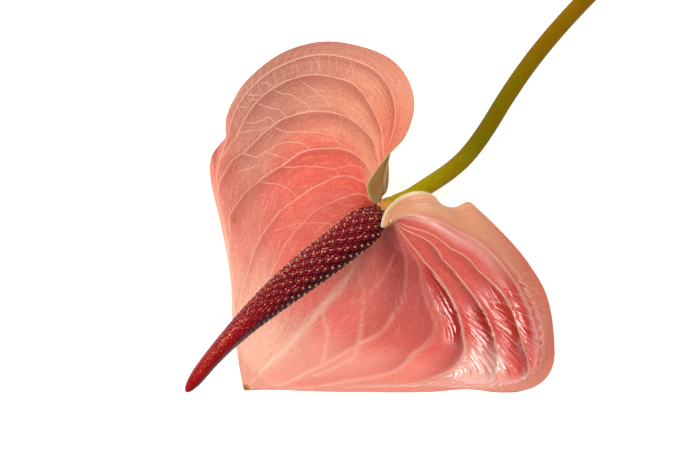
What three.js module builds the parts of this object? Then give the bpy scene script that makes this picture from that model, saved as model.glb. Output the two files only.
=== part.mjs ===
// A cut anthurium stem lying on a flat surface: a long bare stem, one heart-shaped spathe
// (the coloured leaf of the flower) and the spadix (the spike of florets) that stands on it.
// Millimetres, +Z up. The origin is the middle of the part's box, on the surface it lies on.
import * as THREE from 'three';

// ---- driving dimensions, in millimetres ----
const NODE_AT = [-80, 6.2, 24];     // where spathe, stem and spadix meet
const GAP = 0.3;                    // clearance between neighbouring pieces

const STEM_R = 2.25;                // stem, over most of its length
const STIPE_R = 1.8;                // the short stalk between spathe and spadix
const STEM_SIDES = 12;
const STEM_STEPS = 46;

const SPATHE_THICK = 0.8;
const COLLAR_R = STEM_R + GAP + SPATHE_THICK / 2;   // the spathe clasps the stem at this radius
const RIM = 0.8;                    // side position of the collective vein, where the rim turns down
const COLUMNS = 60;                 // across the spathe, margin to margin
const ROWS = 46;                    // from the collar to the tip, closer together near the collar
const LEFT_PUFF = 1.6;              // height of the quilted panels between the main veins
const RIGHT_PUFF = 1.3;
const MIDRIB_DEPTH = 0.7;           // groove along the midrib

const SPADIX_R = 4.75;              // largest radius, without the florets
const FLORETS_ROUND = 14;
const FLORET_ROWS = 41;
const FLORET_HIGH = 0.7;            // how far a floret stands out near the base

const COLORS = { stem: 0x7f7400, spathe: 0xe0786a, spadix: 0x7a0720 };

// ---- paths, measured from the node: +X runs down the stem, -X along the spadix ----
const STEM_PATH = [
  [-2.4, 0.1, 1.7], [0, 0, 0], [3, -0.9, -2], [7, -2.3, -4.3], [12, -3.3, -7], [18, -4.4, -10.2],
  [23.5, -4.8, -13.2], [28.5, -4.4, -15.7], [35, -3.2, -18.2], [43, -1.2, -20], [52.5, 0.8, -21.1],
  [63, 2.3, -21.5], [78, 3.3, -21.6], [110, 3.4, -21.6], [150, 1, -21.7], [190, -3.5, -21.8],
  [226, -9, -21.9],
];
const SPADIX_PATH = [
  [-2.8, 0.1, 2], [-7, 0.6, 4.4], [-18.5, 1.8, 10], [-31.5, 3.2, 15.6], [-45, 3.9, 20.6],
  [-57, 3.4, 25], [-67, 1.9, 28.3],
];

// The spathe is drawn over seven guide lines from the collar to the tip. Each guide has its
// side position (0 at the midrib, -1 and 1 at the margins), the angle at which it leaves the
// collar (0 under the stem) and the points that it passes.
const TIP = [-61.5, -8.7, -24.6];
const GUIDES = [
  { side: -1, angle: -115, points: [      // left margin, with the rolled lip beside the sinus
    [-1, 2.6, 5.4], [-1.5, 4.7, 8.5], [0, 7.5, 10.5], [3, 8.5, 11], [9.5, 9.5, 8], [16, 10, 5.5],
    [23.5, 14.5, 3], [27, 21, 1], [27, 28.5, -1], [19.5, 41.5, -5], [9.5, 48, -8.5],
    [-2.5, 50, -14], [-9.5, 49, -21], [-12.5, 47.5, -24.2], [-16, 45.5, -24.2], [-20.5, 43.5, -21],
    [-24, 42.2, -18], [-27.5, 38.8, -17.5], [-34, 28.6, -19.5], [-42, 16.2, -19.5], [-50.2, 7, -20.5],
    [-57.5, -2.7, -24.3],
  ] },
  { side: -RIM, angle: -85, points: [     // left collective vein
    [2.5, 3.8, 2.8], [4, 5, 5], [6, 7, 6], [10.5, 10.5, 3.5], [16, 13.5, 1.5], [20, 17.5, 1],
    [22.5, 23, 0], [22, 30, -1.5], [15.5, 40.5, -4], [6, 46, -7], [-4.5, 47.5, -11.5],
    [-12.5, 45.5, -15.5], [-19, 42, -16], [-26, 37.5, -14.5], [-33, 27.5, -14], [-40, 18, -14.5],
    [-48.5, 7.5, -17], [-55, -1.8, -23.2],
  ] },
  { side: -0.42, angle: -45, points: [    // middle of the left half
    [-0.5, 5, 0.6], [1.5, 9.5, 1.5], [3.5, 14.5, 2], [3, 19.5, 2], [0.5, 23.5, 1.5],
    [-3.5, 26.5, 0], [-10, 28, -2.5], [-17, 27, -5], [-25, 22.5, -7], [-33, 16.5, -9],
    [-42.5, 7.5, -12], [-50, 0.5, -17.5], [-56, -4.5, -23.9],
  ] },
  { side: 0, angle: 0, points: [          // midrib
    [-8, -2.3, -1.3], [-15, -4.8, -2.2], [-23, -6.5, -4], [-31.5, -7, -6.3], [-44, -8, -11],
    [-50.5, -8, -17.2], [-55.5, -8.3, -23.6], [-58.5, -8.5, -24.5],
  ] },
  { side: 0.42, angle: 45, points: [      // middle of the right half
    [-2.5, -4.8, -1.6], [-4, -9.5, -2.5], [-4, -15.5, -2], [-4, -22.5, -1.5], [-5.5, -29.5, -3.5],
    [-9, -35, -7.5], [-14, -37, -10], [-21, -35, -12], [-29, -30, -13],
    [-41.5, -21.5, -15], [-50.5, -15.7, -19.2], [-56, -12, -24],
  ] },
  { side: RIM, angle: 85, points: [       // right collective vein, along the crest of the lobe
    [-0.4, -3.9, 3.8], [0.8, -4, 7.4], [3.5, -6, 9], [7, -11.5, 8.5], [9, -17, 7],
    [11, -23.5, 5.5], [11, -31, 3], [10, -39.5, -1.5], [6.5, -49, -7], [3, -54.5, -12],
    [-2, -58, -15.5], [-7, -57, -17.5], [-12.5, -53, -18], [-22, -43.5, -16.5], [-35.5, -30.5, -15.5],
    [-48.5, -19.5, -19.5], [-55.5, -13.3, -24],
  ] },
  { side: 1, angle: 115, points: [        // right margin, with the lip that hangs over the spadix
    [-1.6, -3.7, 4.6], [-4.4, -2.4, 8.6], [-1.5, -0.5, 8.6], [1.5, 0, 8], [5, -0.5, 7.5],
    [8.5, -2.5, 6.5], [10.5, -5.5, 5.5], [10.5, -9, 4.5], [12.5, -12, 3.5], [16, -13.5, 3],
    [16.5, -16.5, 2], [17, -28, -2.5], [16.5, -36.5, -6.5], [14.5, -45.5, -11], [9.5, -54, -15],
    [3, -61, -18], [-2.5, -62.5, -21], [-8, -60.5, -24.2], [-12.5, -56.5, -24.5],
    [-17.5, -50.5, -23.5], [-25.5, -43.5, -20.8], [-41, -28.5, -20.3], [-52, -17.7, -22.8],
    [-57.5, -12.3, -24.5],
  ] },
];

// Main veins from the inside out, as [side, along] pairs. No two halves of a spathe are alike.
const LEFT_VEINS = [
  [[0.27, 0.09], [0.225, 0.18], [0.22, 0.28], [0.22, 0.38], [0.24, 0.52], [0.3, 0.66], [0.42, 0.8],
    [0.6, 0.9], [0.79, 0.96]],
  [[0.36, 0.09], [0.315, 0.122], [0.3, 0.17], [0.28, 0.24], [0.28, 0.316], [0.295, 0.38],
    [0.32, 0.451], [0.375, 0.545], [0.43, 0.64], [0.52, 0.73], [0.65, 0.82], [0.79, 0.88]],
  [[0.5, 0.09], [0.43, 0.136], [0.395, 0.2], [0.39, 0.234], [0.395, 0.295], [0.4, 0.353],
    [0.46, 0.451], [0.51, 0.509], [0.55, 0.553], [0.61, 0.62], [0.7, 0.7], [0.79, 0.76]],
  [[0.62, 0.09], [0.59, 0.121], [0.56, 0.154], [0.54, 0.209], [0.54, 0.284], [0.55, 0.345],
    [0.57, 0.428], [0.61, 0.499], [0.69, 0.567], [0.725, 0.607], [0.79, 0.68]],
  [[0.7, 0.09], [0.665, 0.119], [0.645, 0.16], [0.65, 0.194], [0.675, 0.248], [0.69, 0.333],
    [0.7, 0.434], [0.7, 0.52], [0.74, 0.56], [0.79, 0.6]],
];
const RIGHT_VEINS = [
  [[0.48, 0.06], [0.375, 0.11], [0.29, 0.17], [0.245, 0.236], [0.22, 0.295], [0.2, 0.343],
    [0.2, 0.5], [0.22, 0.62], [0.28, 0.75], [0.4, 0.86], [0.6, 0.94], [0.79, 0.97]],
  [[0.52, 0.06], [0.42, 0.138], [0.335, 0.214], [0.32, 0.279], [0.35, 0.365], [0.36, 0.463],
    [0.45, 0.571], [0.52, 0.646], [0.65, 0.78], [0.79, 0.88]],
  [[0.54, 0.06], [0.515, 0.088], [0.465, 0.154], [0.445, 0.237], [0.445, 0.335], [0.46, 0.378],
    [0.495, 0.428], [0.555, 0.531], [0.67, 0.62], [0.79, 0.7]],
  [[0.59, 0.06], [0.61, 0.1], [0.6, 0.129], [0.555, 0.17], [0.545, 0.234], [0.55, 0.272],
    [0.57, 0.351], [0.615, 0.435], [0.645, 0.477], [0.74, 0.54], [0.79, 0.58]],
  [[0.63, 0.06], [0.665, 0.103], [0.655, 0.161], [0.655, 0.209], [0.68, 0.27], [0.69, 0.323],
    [0.71, 0.409], [0.74, 0.447], [0.79, 0.5]],
];

const FLOOR = -NODE_AT[2];

const vector = ([x, y, z]) => new THREE.Vector3(x, y, z);
const smooth = (x, from, to) => THREE.MathUtils.smoothstep(x, from, to);

function pathThrough(points) {
  const path = new THREE.CatmullRomCurve3(points.map(vector), false, 'centripetal');
  path.arcLengthDivisions = 400;
  return path;
}

// ---- one closed body from a list of corner points and triangles ----
function solid(points, triangles) {
  const geometry = new THREE.BufferGeometry();
  geometry.setAttribute('position', new THREE.Float32BufferAttribute(points.flatMap((p) => p.toArray()), 3));
  geometry.setIndex(triangles.flat());
  geometry.computeVertexNormals();
  return geometry;
}

// Two triangles for the four-sided face a, b, c, d.
const quad = (a, b, c, d) => [[a, b, c], [a, c, d]];

// ---- a rod of changing radius along a path, closed at both ends ----
// radiusAt(step, side) gives the radius at each corner, and pinned(point) may move the point.
function rod(path, steps, sides, radiusAt, pinned = (p) => p) {
  const frames = path.computeFrenetFrames(steps, false);
  const points = [];
  for (let i = 0; i <= steps; i++) {
    const centre = path.getPointAt(i / steps);
    for (let j = 0; j < sides; j++) {
      const turn = (2 * Math.PI * j) / sides;
      const out = frames.normals[i].clone().multiplyScalar(Math.cos(turn))
        .addScaledVector(frames.binormals[i], Math.sin(turn));
      points.push(pinned(centre.clone().addScaledVector(out, radiusAt(i, j))));
    }
  }
  const triangles = [];
  for (let i = 0; i < steps; i++) {
    for (let j = 0; j < sides; j++) {
      const next = (j + 1) % sides;
      const [a, b] = [i * sides + j, i * sides + next];
      const [c, d] = [a + sides, b + sides];
      if ((i + j) % 2) triangles.push([a, b, c], [b, d, c]);
      else triangles.push([a, b, d], [a, d, c]);
    }
  }
  const last = steps * sides;
  const ends = [points.push(path.getPointAt(0)) - 1, points.push(path.getPointAt(1)) - 1];
  for (let j = 0; j < sides; j++) {
    const next = (j + 1) % sides;
    triangles.push([ends[0], next, j], [ends[1], last + j, last + next]);
  }
  return solid(points, triangles);
}

// ---- stem ----
function stemGeometry() {
  const path = pathThrough(STEM_PATH);
  const length = path.getLength();
  const radiusAt = (i) => {
    const along = (i / STEM_STEPS) * length;
    return STIPE_R + (STEM_R - STIPE_R) * smooth(along, 0, 4);
  };
  const pressed = (p) => p.setZ(Math.max(p.z, FLOOR));
  return rod(path, STEM_STEPS, STEM_SIDES, radiusAt, pressed);
}

// ---- spadix: a tapering spike under a lattice of florets ----
// Corners alternate between the middle of a floret, which stands out, and the groove round it.
function spadixGeometry() {
  const steps = FLORET_ROWS;
  const sides = FLORETS_ROUND * 2;
  const radiusAt = (i, j) => {
    const along = i / steps;
    const base = 0.62 + 0.38 * smooth(along, 0, 0.1);
    const taper = 1 - 0.52 * smooth(along, 0.25, 1) - 0.1 * along;
    const tip = Math.sqrt(Math.max(0.03, 1 - Math.max(0, (along - 0.9) / 0.1) ** 2));
    const fade = 1 - 0.85 * smooth(along, 0.45, 0.85);
    const standing = (i + j) % 2 ? 0.5 : -0.5;
    const florets = i === 0 || i === steps ? 0 : FLORET_HIGH * fade * standing * tip;
    return SPADIX_R * base * taper * tip + florets;
  };
  return rod(pathThrough(SPADIX_PATH), steps, sides, radiusAt);
}

// ---- spathe ----
// Where a guide leaves the collar, at an angle round the underside of the stem.
function collarPoint(degrees) {
  const up = vector(STEM_PATH[0]).sub(vector(STEM_PATH[2])).normalize();
  const left = new THREE.Vector3(0, 1, 0);
  const under = new THREE.Vector3().crossVectors(up, left).normalize();
  const turn = THREE.MathUtils.degToRad(degrees);
  return under.multiplyScalar(Math.cos(turn)).addScaledVector(left, -Math.sin(turn))
    .multiplyScalar(COLLAR_R).toArray();
}

const guideCurves = GUIDES.map(({ angle, points }) => pathThrough([collarPoint(angle), ...points, TIP]));

// A smooth curve through the seven guides, taken at the same share of their length.
function betweenGuides(side, along) {
  const knots = GUIDES.map((guide) => guide.side);
  const at = guideCurves.map((curve) => curve.getPointAt(along));
  const slope = (i) => {
    const [low, high] = [Math.max(i - 1, 0), Math.min(i + 1, at.length - 1)];
    const before = low < i ? knots[i] - knots[low] : 0;
    const after = high > i ? knots[high] - knots[i] : 0;
    const rise = new THREE.Vector3();
    if (before) rise.addScaledVector(at[i].clone().sub(at[low]), (after || 1) / before);
    if (after) rise.addScaledVector(at[high].clone().sub(at[i]), (before || 1) / after);
    return rise.divideScalar((before || 1) * (after > 0) + (after || 1) * (before > 0));
  };
  let span = 0;
  while (span < knots.length - 2 && side > knots[span + 1]) span++;
  const width = knots[span + 1] - knots[span];
  const w = (side - knots[span]) / width;
  return at[span].clone().multiplyScalar(1 - w * w * (3 - 2 * w))
    .addScaledVector(at[span + 1], w * w * (3 - 2 * w))
    .addScaledVector(slope(span), width * w * (1 - w) ** 2)
    .addScaledVector(slope(span + 1), width * w * w * (w - 1));
}

// Side position of a vein at a share of the blade's length. Past its end it has joined the rim.
function veinSide(vein, along) {
  const next = vein.findIndex(([, at]) => at > along);
  if (next < 0) return RIM;
  if (next === 0) return vein[0][0];
  const [[side, from], [nextSide, to]] = [vein[next - 1], vein[next]];
  return side + ((nextSide - side) * (along - from)) / (to - from);
}

// Height of the quilting: panels stand up between the veins, which lie in the grooves.
function quilting(side, along) {
  const out = Math.abs(side);
  const groove = -MIDRIB_DEPTH * Math.exp(-((out / 0.05) ** 2)) * (1 - along) * smooth(along, 0, 0.1);
  if (out >= RIM) return groove;
  const veins = (side > 0 ? RIGHT_VEINS : LEFT_VEINS).map((vein) => veinSide(vein, along));
  const lines = [0, ...veins.sort((a, b) => a - b), RIM];
  const next = lines.findIndex((at) => at > out);
  const share = (out - lines[next - 1]) / (lines[next] - lines[next - 1]);
  const wide = smooth(lines[next] - lines[next - 1], 0.03, 0.16);
  const flatter = side > 0 ? smooth(along, 0.34, 0.56) : smooth(along, 0.5, 0.85);
  const fade = smooth(along, 0.06, 0.22) * (1 - flatter);
  const bulge = wide * (0.5 - 0.5 * Math.cos(2 * Math.PI * share)) - 0.4 * (1 - smooth(out, 0.6, RIM));
  return groove + (side > 0 ? RIGHT_PUFF : LEFT_PUFF) * fade * bulge;
}

const rowShare = (row) => (row / ROWS) ** 1.25;

function spatheGeometry() {
  const width = COLUMNS + 1;
  const at = (i, j) => i * width + j;
  const middle = [];
  for (let i = 0; i <= ROWS; i++) {
    for (let j = 0; j <= COLUMNS; j++) {
      middle.push(betweenGuides((2 * j) / COLUMNS - 1, rowShare(i)));
    }
  }
  const normalAt = (i, j) => {
    const row = Math.min(i, ROWS - 1);
    const across = middle[at(row, Math.min(j + 1, COLUMNS))].clone().sub(middle[at(row, Math.max(j - 1, 0))]);
    const down = middle[at(row + 1, j)].clone().sub(middle[at(Math.max(row - 1, 0), j)]);
    return down.cross(across).normalize();
  };
  const faces = [[], []];
  for (let i = 0; i <= ROWS; i++) {
    for (let j = 0; j <= COLUMNS; j++) {
      const normal = i === ROWS ? new THREE.Vector3(0, 0, 1) : normalAt(i, j);
      const lift = quilting((2 * j) / COLUMNS - 1, rowShare(i));
      [1, -1].forEach((face, k) => {
        const p = middle[at(i, j)].clone().addScaledVector(normal, lift + (face * SPATHE_THICK) / 2);
        const lowest = FLOOR + (face > 0 ? SPATHE_THICK : 0);
        faces[k].push(p.setZ(Math.max(p.z, lowest)));
      });
    }
  }
  return shell(faces, at);
}

// Joins the upper and lower face round the margins and the collar. The tip row is one point.
function shell([upper, lower], at) {
  const index = (i, j) => at(i, i === ROWS ? 0 : j);
  const top = (i, j) => index(i, j);
  const under = (i, j) => index(i, j) + upper.length;
  const triangles = [];
  const add = (faces) => triangles.push(...faces.filter(([a, b, c]) => a !== b && b !== c && c !== a));
  for (let i = 0; i < ROWS; i++) {
    for (let j = 0; j < COLUMNS; j++) {
      add(quad(top(i, j), top(i + 1, j), top(i + 1, j + 1), top(i, j + 1)));
      add(quad(under(i, j), under(i, j + 1), under(i + 1, j + 1), under(i + 1, j)));
    }
    add(quad(top(i, 0), under(i, 0), under(i + 1, 0), top(i + 1, 0)));
    add(quad(top(i, COLUMNS), top(i + 1, COLUMNS), under(i + 1, COLUMNS), under(i, COLUMNS)));
  }
  for (let j = 0; j < COLUMNS; j++) {
    add(quad(top(0, j), top(0, j + 1), under(0, j + 1), under(0, j)));
  }
  return solid([...upper, ...lower], triangles);
}

// ---- the part ----
function piece(name, geometry, roughness) {
  const material = new THREE.MeshStandardMaterial({ color: COLORS[name], roughness, metalness: 0 });
  const mesh = new THREE.Mesh(geometry, material);
  mesh.name = name;
  return mesh;
}

const group = new THREE.Group();
group.add(piece('stem', stemGeometry(), 0.45));
group.add(piece('spathe', spatheGeometry(), 0.3));
group.add(piece('spadix', spadixGeometry(), 0.5));
group.position.set(...NODE_AT);

export default group;
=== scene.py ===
# %% [markdown]
# # A cut anthurium, from plain solids to a finished flower
# The frame holds three plain solids: a stem, a spathe, which is the coloured leaf of the
# flower, and a spadix, the spike of florets. This lesson replaces each one with finer pieces
# of the same form. Shapes are written in millimetres, measured from the node where the three
# grow together, and are turned into metres when a mesh is made.

# %% Load the frame
import math
from functools import partial

import bpy
import numpy as np
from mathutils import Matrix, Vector
from mathutils.kdtree import KDTree


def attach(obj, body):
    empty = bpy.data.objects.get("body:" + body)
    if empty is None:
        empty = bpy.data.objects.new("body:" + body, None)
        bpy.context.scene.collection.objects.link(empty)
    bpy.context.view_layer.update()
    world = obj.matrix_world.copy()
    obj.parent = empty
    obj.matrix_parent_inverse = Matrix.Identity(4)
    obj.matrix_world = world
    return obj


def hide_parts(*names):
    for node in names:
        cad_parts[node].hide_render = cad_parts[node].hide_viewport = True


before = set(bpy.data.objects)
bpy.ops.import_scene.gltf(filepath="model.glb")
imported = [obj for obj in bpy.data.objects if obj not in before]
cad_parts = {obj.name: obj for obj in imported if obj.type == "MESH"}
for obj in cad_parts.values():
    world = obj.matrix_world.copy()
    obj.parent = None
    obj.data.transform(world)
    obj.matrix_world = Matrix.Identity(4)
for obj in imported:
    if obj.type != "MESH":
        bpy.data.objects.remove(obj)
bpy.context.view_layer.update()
MM = 0.001
NODE_AT = np.array([-80.0, 6.2, 24.0])
FLOOR = -NODE_AT[2]
print("frame nodes:", sorted(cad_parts))

# %% [markdown]
# ## Small helpers
# Every colour is picked as a web colour, which is how a screen shows it. Blender mixes light,
# so each one is turned to linear values first. One function adds a node to any tree: it sets
# the node's own settings, then fills its sockets with numbers, colours or links.

# %% Helpers for colours and nodes
def linear(code):
    channels = [int(code[i:i + 2], 16) / 255 for i in (1, 3, 5)]
    return [c / 12.92 if c <= 0.04045 else ((c + 0.055) / 1.055) ** 2.4 for c in channels] + [1.0]


def fill(tree, node, inputs):
    for socket, value in inputs.items():
        if isinstance(value, bpy.types.Node):
            value = value.outputs[0]
        if isinstance(value, bpy.types.NodeSocket):
            tree.links.new(value, node.inputs[socket])
        elif value is not None:
            coloured = isinstance(value, str) and value.startswith("#")
            node.inputs[socket].default_value = linear(value) if coloured else value


def add(tree, kind, inputs=None, **settings):
    node = tree.nodes.new(kind)
    for name, value in settings.items():
        setattr(node, name, value)
    fill(tree, node, inputs or {})
    return node


# %% Helpers for meshes and soft steps
def new_object(name, data):
    thing = bpy.data.objects.new(name, data)
    bpy.context.scene.collection.objects.link(thing)
    return thing


def mesh_object(name, points, faces, edges=(), at=NODE_AT):
    mesh = bpy.data.meshes.new(name)
    mesh.from_pydata(((np.asarray(points) + at) * MM).tolist(), list(edges), faces)
    mesh.shade_smooth()
    return new_object(name, mesh)


def store(thing, **layers):
    for name, values in layers.items():
        values = np.asarray(values, dtype=np.float32)
        kind, key = ("FLOAT", "value") if values.ndim == 1 else ("FLOAT_VECTOR", "vector")
        thing.data.attributes.new(name, kind, "POINT").data.foreach_set(key, values.ravel())


def smooth(x, low, high):
    share = np.clip((x - low) / (high - low), 0, 1)
    return share * share * (3 - 2 * share)


def fade(x, low, high):
    return 1 - smooth(x, low, high)


def band(x, in_low, in_high, out_low, out_high):
    return smooth(x, in_low, in_high) * fade(x, out_low, out_high)


def near_by(x, middle, width):
    return np.exp(-((x - middle) / width) ** 2)


def unit(vectors):
    return vectors / np.maximum(np.linalg.norm(vectors, axis=-1, keepdims=True), 1e-9)


def rows_of(text):
    return np.array([row.split() for row in text.split(",")], dtype=float)


def keep_above(points, gap):
    points[:, 2] = np.maximum(points[:, 2], FLOOR + gap)
    return points


# %% [markdown]
# ## Smooth paths
# A path passes through a few given points. A centripetal Catmull-Rom curve joins them:
# it never loops or overshoots where points lie close together, as they do at the rolled lips.
# The result is measured along its length, so a share of 0.5 is half way along the real curve.

# %% Paths
def path_through(points, per_span=24):
    points = np.asarray(points, dtype=float)
    padded = np.vstack([2 * points[0] - points[1], points, 2 * points[-1] - points[-2]])
    rows = []
    for before, start, end, after in zip(padded, padded[1:], padded[2:], padded[3:]):
        a, b, c = (np.linalg.norm(q - p) ** 0.5 for p, q in ((before, start), (start, end), (end, after)))
        leave = ((start - before) / a - (end - before) / (a + b) + (end - start) / b) * b
        reach = ((end - start) / b - (after - start) / (b + c) + (after - end) / c) * b
        for w in np.arange(per_span) / per_span:
            rows.append(start + leave * w + (3 * (end - start) - 2 * leave - reach) * w * w
                        + (2 * (start - end) + leave + reach) * w ** 3)
    return np.vstack([rows, points[-1:]])


def distances(path):
    return np.concatenate([[0], np.cumsum(np.linalg.norm(np.diff(path, axis=0), axis=1))])


def along_path(path, share):
    gone = distances(path) / distances(path)[-1]
    return np.stack([np.interp(share, gone, path[:, axis]) for axis in range(3)], axis=-1)


# %% [markdown]
# ## The form of the spathe
# A spathe is a leaf: it grows from a collar round the stem, and its main veins fan out and
# meet again at the tip. Seven guide lines follow it: the midrib, and on each side the middle
# of the blade, the collective vein where the rim turns down, and the margin. A point on the
# blade is named by its side, from -1 at the left margin to 1 at the right one, and by how far
# along it lies. The spathe of the frame is drawn over the same guides.

# %% Guide lines: side, degrees round the collar, and the points from there to the tip
STEM_R = 2.25
CLEAR = 0.3
CAD_THICK = 0.8
COLLAR_R = STEM_R + CLEAR + CAD_THICK / 2
RIM = 0.8
TIP = [-61.5, -8.7, -24.6]
STEM_PATH = rows_of("""
-2.4 0.1 1.7, 0 0 0, 3 -0.9 -2, 7 -2.3 -4.3, 12 -3.3 -7, 18 -4.4 -10.2, 23.5 -4.8 -13.2,
28.5 -4.4 -15.7, 35 -3.2 -18.2, 43 -1.2 -20, 52.5 0.8 -21.1, 63 2.3 -21.5, 78 3.3 -21.6,
110 3.4 -21.6, 150 1 -21.7, 190 -3.5 -21.8, 226 -9 -21.9
""")
GUIDES = [
    (-1, -115, """
-1 2.6 5.4, -1.5 4.7 8.5, 0 7.5 10.5, 3 8.5 11, 9.5 9.5 8, 16 10 5.5, 23.5 14.5 3, 27 21 1,
27 28.5 -1, 19.5 41.5 -5, 9.5 48 -8.5, -2.5 50 -14, -9.5 49 -21, -12.5 47.5 -24.2, -16 45.5 -24.2,
-20.5 43.5 -21, -24 42.2 -18, -27.5 38.8 -17.5, -34 28.6 -19.5, -42 16.2 -19.5, -50.2 7 -20.5,
-57.5 -2.7 -24.3
"""),
    (-RIM, -85, """
2.5 3.8 2.8, 4 5 5, 6 7 6, 10.5 10.5 3.5, 16 13.5 1.5, 20 17.5 1, 22.5 23 0, 22 30 -1.5,
15.5 40.5 -4, 6 46 -7, -4.5 47.5 -11.5, -12.5 45.5 -15.5, -19 42 -16, -26 37.5 -14.5, -33 27.5 -14,
-40 18 -14.5, -48.5 7.5 -17, -55 -1.8 -23.2
"""),
    (-0.42, -45, """
-0.5 5 0.6, 1.5 9.5 1.5, 3.5 14.5 2, 3 19.5 2, 0.5 23.5 1.5, -3.5 26.5 0, -10 28 -2.5, -17 27 -5,
-25 22.5 -7, -33 16.5 -9, -42.5 7.5 -12, -50 0.5 -17.5, -56 -4.5 -23.9
"""),
    (0, 0, """
-8 -2.3 -1.3, -15 -4.8 -2.2, -23 -6.5 -4, -31.5 -7 -6.3, -44 -8 -11, -50.5 -8 -17.2,
-55.5 -8.3 -23.6, -58.5 -8.5 -24.5
"""),
    (0.42, 45, """
-2.5 -4.8 -1.6, -4 -9.5 -2.5, -4 -15.5 -2, -4 -22.5 -1.5, -5.5 -29.5 -3.5, -9 -35 -7.5, -14 -37 -10,
-21 -35 -12, -29 -30 -13, -41.5 -21.5 -15, -50.5 -15.7 -19.2, -56 -12 -24
"""),
    (RIM, 85, """
-0.4 -3.9 3.8, 0.8 -4 7.4, 3.5 -6 9, 7 -11.5 8.5, 9 -17 7, 11 -23.5 5.5, 11 -31 3, 10 -39.5 -1.5,
6.5 -49 -7, 3 -54.5 -12, -2 -58 -15.5, -7 -57 -17.5, -12.5 -53 -18, -22 -43.5 -16.5,
-35.5 -30.5 -15.5, -48.5 -19.5 -19.5, -55.5 -13.3 -24
"""),
    (1, 115, """
-1.6 -3.7 4.6, -4.4 -2.4 8.6, -1.5 -0.5 8.6, 1.5 0 8, 5 -0.5 7.5, 8.5 -2.5 6.5, 10.5 -5.5 5.5,
10.5 -9 4.5, 12.5 -12 3.5, 16 -13.5 3, 16.5 -16.5 2, 17 -28 -2.5, 16.5 -36.5 -6.5, 14.5 -45.5 -11,
9.5 -54 -15, 3 -61 -18, -2.5 -62.5 -21, -8 -60.5 -24.2, -12.5 -56.5 -24.5, -17.5 -50.5 -23.5,
-25.5 -43.5 -20.8, -41 -28.5 -20.3, -52 -17.7 -22.8, -57.5 -12.3 -24.5
"""),
]


def collar_point(degrees):
    left = np.array([0.0, 1.0, 0.0])
    under = unit(np.cross(STEM_PATH[0] - STEM_PATH[2], left))
    turn = math.radians(degrees)
    return (under * math.cos(turn) - left * math.sin(turn)) * COLLAR_R


SIDES = np.array([side for side, _, _ in GUIDES], dtype=float)
GUIDE_PATHS = [path_through([collar_point(angle), *rows_of(points), TIP]) for _, angle, points in GUIDES]
print("guide lengths in mm:", [round(float(distances(path)[-1])) for path in GUIDE_PATHS])


# %% The surface between the guides
def between_guides(side, along):
    at = np.stack([along_path(path, along) for path in GUIDE_PATHS])
    gap = np.diff(SIDES)[:, None, None]
    rise = np.diff(at, axis=0) / gap
    inner = (rise[:-1] * gap[1:] + rise[1:] * gap[:-1]) / (gap[:-1] + gap[1:])
    slope = np.concatenate([rise[:1], inner, rise[-1:]])
    span = np.clip(np.searchsorted(SIDES, side, side="right") - 1, 0, len(SIDES) - 2)
    each = np.arange(len(side))
    width = np.diff(SIDES)[span][:, None]
    w = ((side - SIDES[span]) / width[:, 0])[:, None]
    ease = w * w * (3 - 2 * w)
    return (at[span, each] * (1 - ease) + at[span + 1, each] * ease
            + slope[span, each] * width * w * (1 - w) ** 2
            + slope[span + 1, each] * width * w * w * (w - 1))


def surface(side, along, step=2e-3):
    side, along = np.asarray(side, dtype=float), np.asarray(along, dtype=float)
    near = np.clip(along, step, 0.99)
    down = between_guides(side, near + step) - between_guides(side, near - step)
    across = (between_guides(np.minimum(side + step, 1), near)
              - between_guides(np.maximum(side - step, -1), near))
    return between_guides(side, along), unit(np.cross(down, across))


# %% [markdown]
# ## Where the veins run
# The veins give an anthurium its quilted look. Each half has a few main veins that leave the
# collar together, spread out and meet the collective vein near the rim. They are listed one
# by one, because no two halves of a real spathe are the same: a line of text is one vein, and
# each pair in it is side and along in thousandths.

# %% Main veins
def veins_of(text):
    return [rows_of(line) for line in text.strip().split("\n")]


MAIN_VEINS = {
    -1: veins_of("""
270 90, 225 180, 220 280, 220 380, 240 520, 300 660, 420 800, 600 900, 790 960
360 90, 315 122, 300 170, 280 240, 280 316, 295 380, 320 451, 375 545, 430 640, 520 730, 650 820, 790 880
500 90, 430 136, 395 200, 390 234, 395 295, 400 353, 460 451, 510 509, 550 553, 610 620, 700 700, 790 760
620 90, 590 121, 560 154, 540 209, 540 284, 550 345, 570 428, 610 499, 690 567, 725 607, 790 680
700 90, 665 119, 645 160, 650 194, 675 248, 690 333, 700 434, 700 520, 740 560, 790 600
"""),
    1: veins_of("""
480 60, 375 110, 290 170, 245 236, 220 295, 200 343, 200 500, 220 620, 280 750, 400 860, 600 940, 790 970
520 60, 420 138, 335 214, 320 279, 350 365, 360 463, 450 571, 520 646, 650 780, 790 880
540 60, 515 88, 465 154, 445 237, 445 335, 460 378, 495 428, 555 531, 670 620, 790 700
590 60, 610 100, 600 129, 555 170, 545 234, 550 272, 570 351, 615 435, 645 477, 740 540, 790 580
630 60, 665 103, 655 161, 655 209, 680 270, 690 323, 710 409, 740 447, 790 500
"""),
}
MIDRIB_LINE = [(0, 10), (0, 300), (0, 600), (0, 970)]
EDGE_VEIN = [(860, 20), (800, 100), (800, 300), (800, 500), (800, 750), (800, 970)]
ROOT_OUT, ROOT_ALONG = 90, 12


def vein_line(pairs, half):
    return path_through(np.array(pairs) / 1000, 12) * [half, 1]


def mains_of(half):
    return [line for line in main_lines[1:] if line[-1, 0] * half > 0]


main_lines = [vein_line(MIDRIB_LINE, 1)]
for half, veins in MAIN_VEINS.items():
    main_lines += [vein_line([(pairs[0][0] + ROOT_OUT, ROOT_ALONG), *pairs], half) for pairs in veins]
    main_lines.append(vein_line(EDGE_VEIN, half))
print("main veins:", len(main_lines))
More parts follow.
